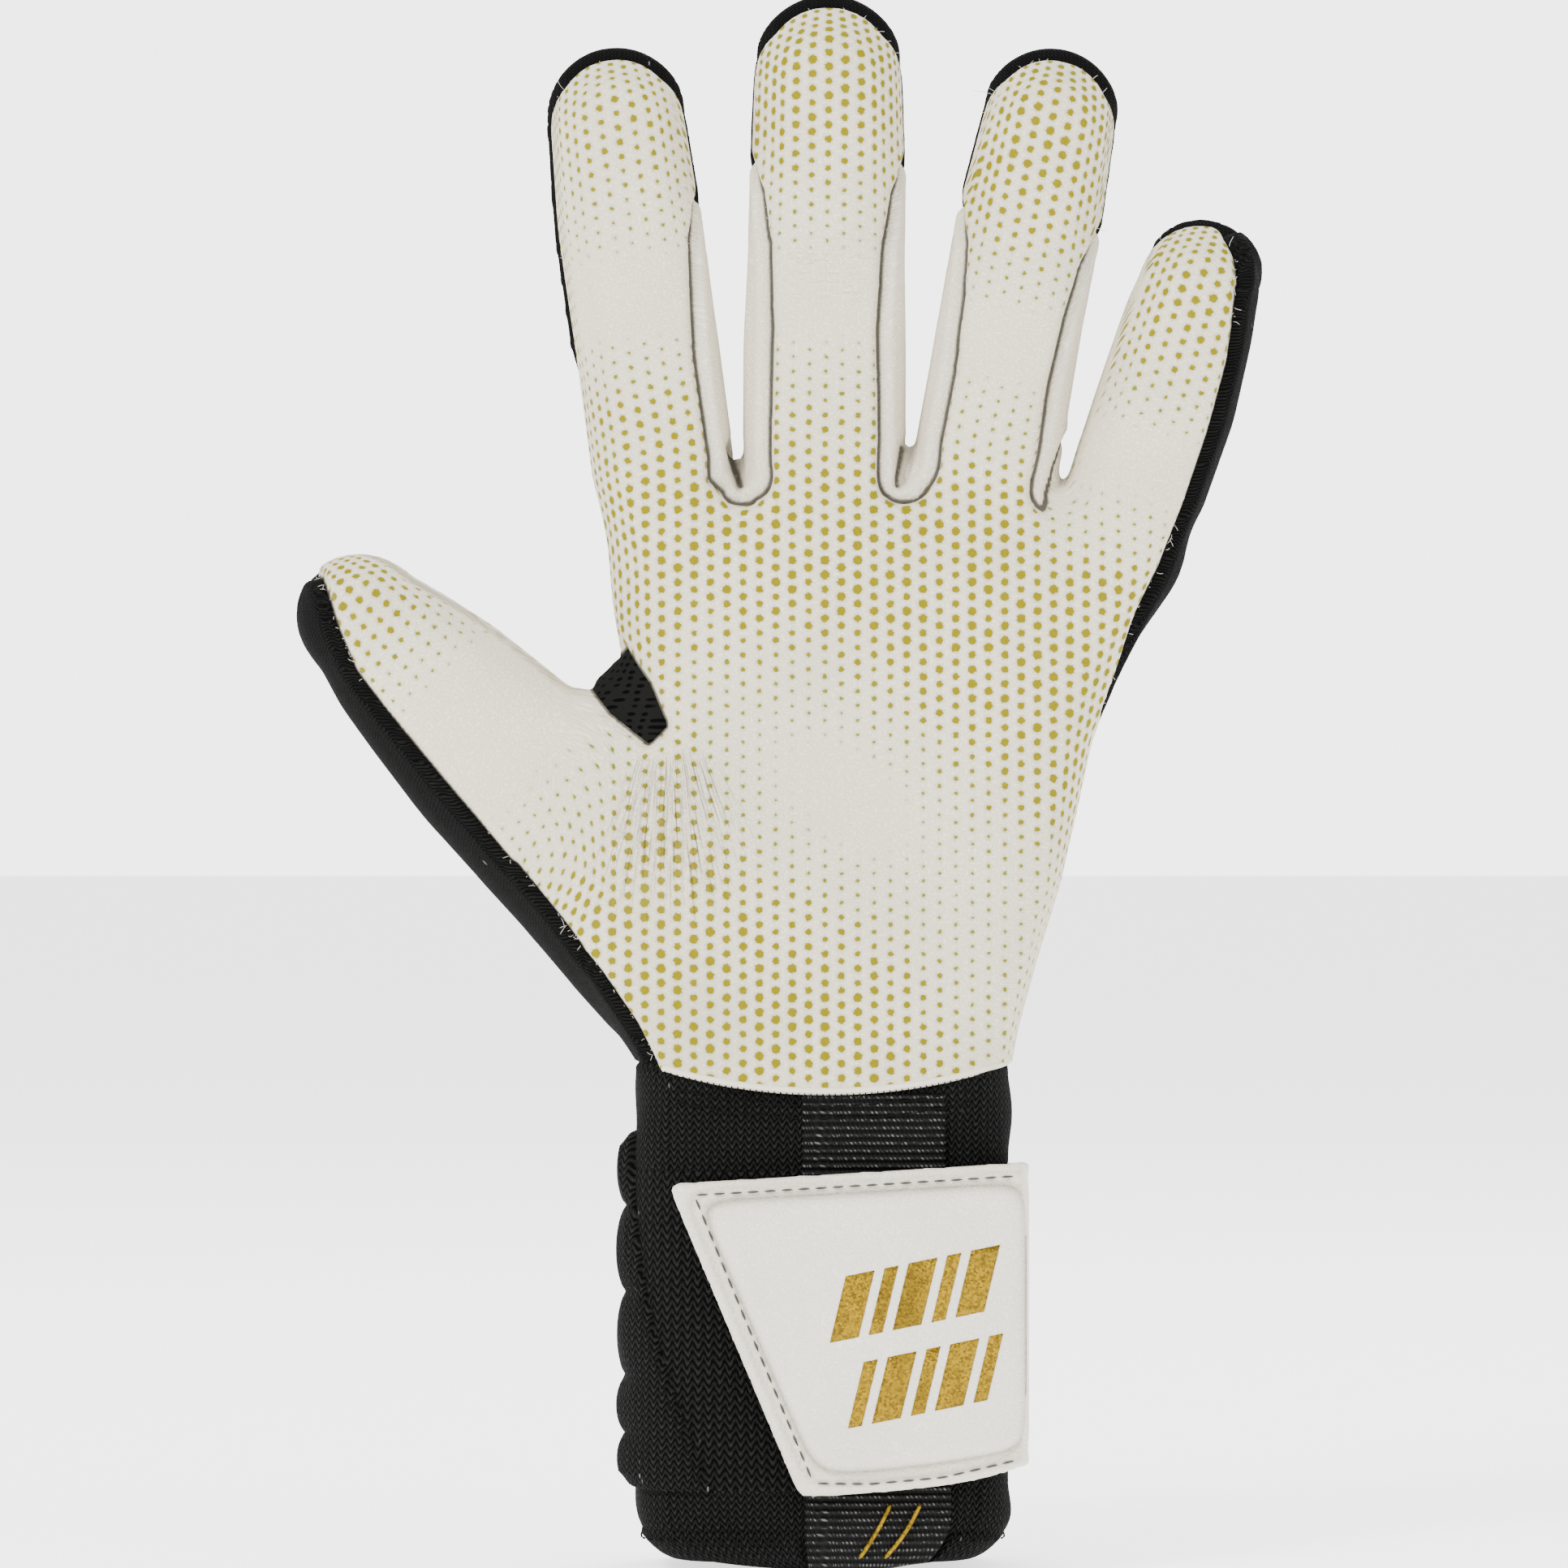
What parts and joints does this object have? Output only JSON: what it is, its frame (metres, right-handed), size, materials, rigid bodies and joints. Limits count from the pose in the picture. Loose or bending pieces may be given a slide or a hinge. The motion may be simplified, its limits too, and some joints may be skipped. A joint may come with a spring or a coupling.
{
  "type": "goalkeeper glove",
  "caption": "Left goalkeeper glove with a foam latex palm, gusseted fingers, knit backhand and a wrap-round wrist strap.",
  "frame": {"origin": "middle of the glove's box, at the cuff's rim", "axes": "+Z from the cuff to the fingertips, -Y out of the palm, +X towards the little finger"},
  "size_m": [0.1843, 0.0524, 0.2989],
  "materials": {
    "latex": "matt foam with a fine grain and a print of small yellow dots",
    "gusset": "smooth matt foam",
    "backhand": "fine black knit",
    "perforated": "black perforated fabric",
    "lining": "brushed lining",
    "knit": "black elastic knit",
    "webbing": "ribbed elastic webbing",
    "loop": "black brushed loop",
    "strap": "smooth satin coating with a stitched border"
  },
  "bodies": {
    "root": {"palm_latex": "latex", "palm_lining": "lining", "backhand_panel": "backhand", "backhand_lining": "lining", "little_side_strip": "backhand", "thumb_heel_strip": "backhand", "index_side_wall": "backhand", "thumb_web_panel": "perforated", "index_middle_crotch": "gusset", "middle_ring_crotch": "gusset", "ring_little_crotch": "gusset", "wrist_knit_front": "knit", "wrist_knit_back": "knit", "cuff_thumb_side": "knit", "strap_anchor": "knit", "wrist_little_side": "knit", "cuff_hem": "knit", "wrist_webbing": "webbing", "pull_tab": "webbing", "loop_patch": "loop", "strap_back_wrap": "strap"},
    "index_base": {"index_base_palm_latex": "latex", "index_base_back": "backhand", "index_base_side_strip": "backhand", "index_base_inner_gusset": "gusset"},
    "index_tip": {"index_tip_palm_latex": "latex", "index_tip_back": "backhand"},
    "middle_base": {"middle_base_palm_latex": "latex", "middle_base_back": "backhand", "middle_base_left_gusset": "gusset", "middle_base_right_gusset": "gusset"},
    "middle_tip": {"middle_tip_palm_latex": "latex", "middle_tip_back": "backhand"},
    "ring_base": {"ring_base_palm_latex": "latex", "ring_base_back": "backhand", "ring_base_left_gusset": "gusset", "ring_base_right_gusset": "gusset"},
    "ring_tip": {"ring_tip_palm_latex": "latex", "ring_tip_back": "backhand"},
    "little_base": {"little_base_palm_latex": "latex", "little_base_back": "backhand", "little_base_inner_side": "latex", "little_base_side_strip": "backhand"},
    "little_tip": {"little_tip_palm_latex": "latex", "little_tip_back": "backhand"},
    "thumb_base": {"thumb_base_palm_latex": "latex", "thumb_base_back": "backhand", "thumb_base_side_strip": "backhand", "thumb_base_inner_side": "latex"},
    "thumb_tip": {"thumb_tip_palm_latex": "latex", "thumb_tip_back": "backhand"},
    "strap": {"closure_strap": "strap", "strap_pad": "strap", "hook_patch": "loop"}
  },
  "joints": [
    {"name": "index_knuckle", "type": "hinge", "parent": "root", "child": "index_base", "pos_m": [-0.0218, -0.0071, 0.207], "axis": [0.9925, 0, 0.1219], "range_deg": [-8, 65], "stiffness_Nm_per_rad": 0.04},
    {"name": "index_middle_joint", "type": "hinge", "parent": "index_base", "child": "index_tip", "pos_m": [-0.02619, -0.0071, 0.24273], "axis": [0.9925, 0, 0.1219], "range_deg": [0, 65], "stiffness_Nm_per_rad": 0.02},
    {"name": "middle_knuckle", "type": "hinge", "parent": "root", "child": "middle_base", "pos_m": [0.0085, -0.0071, 0.208], "axis": [0.9999, 0, -0.0105], "range_deg": [-8, 65], "stiffness_Nm_per_rad": 0.04},
    {"name": "middle_middle_joint", "type": "hinge", "parent": "middle_base", "child": "middle_tip", "pos_m": [0.00891, -0.0071, 0.247], "axis": [0.9999, 0, -0.0105], "range_deg": [0, 65], "stiffness_Nm_per_rad": 0.02},
    {"name": "ring_knuckle", "type": "hinge", "parent": "root", "child": "ring_base", "pos_m": [0.0391, -0.0071, 0.209], "axis": [0.9836, 0, -0.1805], "range_deg": [-8, 65], "stiffness_Nm_per_rad": 0.04},
    {"name": "ring_middle_joint", "type": "hinge", "parent": "ring_base", "child": "ring_tip", "pos_m": [0.04551, -0.0071, 0.24392], "axis": [0.9836, 0, -0.1805], "range_deg": [0, 65], "stiffness_Nm_per_rad": 0.02},
    {"name": "little_knuckle", "type": "hinge", "parent": "root", "child": "little_base", "pos_m": [0.0678, -0.0069, 0.2035], "axis": [0.9563, 0, -0.2924], "range_deg": [-8, 65], "stiffness_Nm_per_rad": 0.04},
    {"name": "little_middle_joint", "type": "hinge", "parent": "little_base", "child": "little_tip", "pos_m": [0.0754, -0.0069, 0.22836], "axis": [0.9563, 0, -0.2924], "range_deg": [0, 65], "stiffness_Nm_per_rad": 0.02},
    {"name": "thumb_knuckle", "type": "hinge", "parent": "root", "child": "thumb_base", "pos_m": [-0.045, -0.0096, 0.1496], "axis": [0.6947, 0, 0.7193], "range_deg": [-8, 45], "stiffness_Nm_per_rad": 0.04},
    {"name": "thumb_middle_joint", "type": "hinge", "parent": "thumb_base", "child": "thumb_tip", "pos_m": [-0.06586, -0.0096, 0.16975], "axis": [0.6947, 0, 0.7193], "range_deg": [0, 55], "stiffness_Nm_per_rad": 0.02},
    {"name": "strap_opening", "type": "hinge", "parent": "root", "child": "strap", "pos_m": [0.0468, -0.0222, 0.046], "axis": [0, 0, 1], "range_deg": [0, 150]}
  ]
}
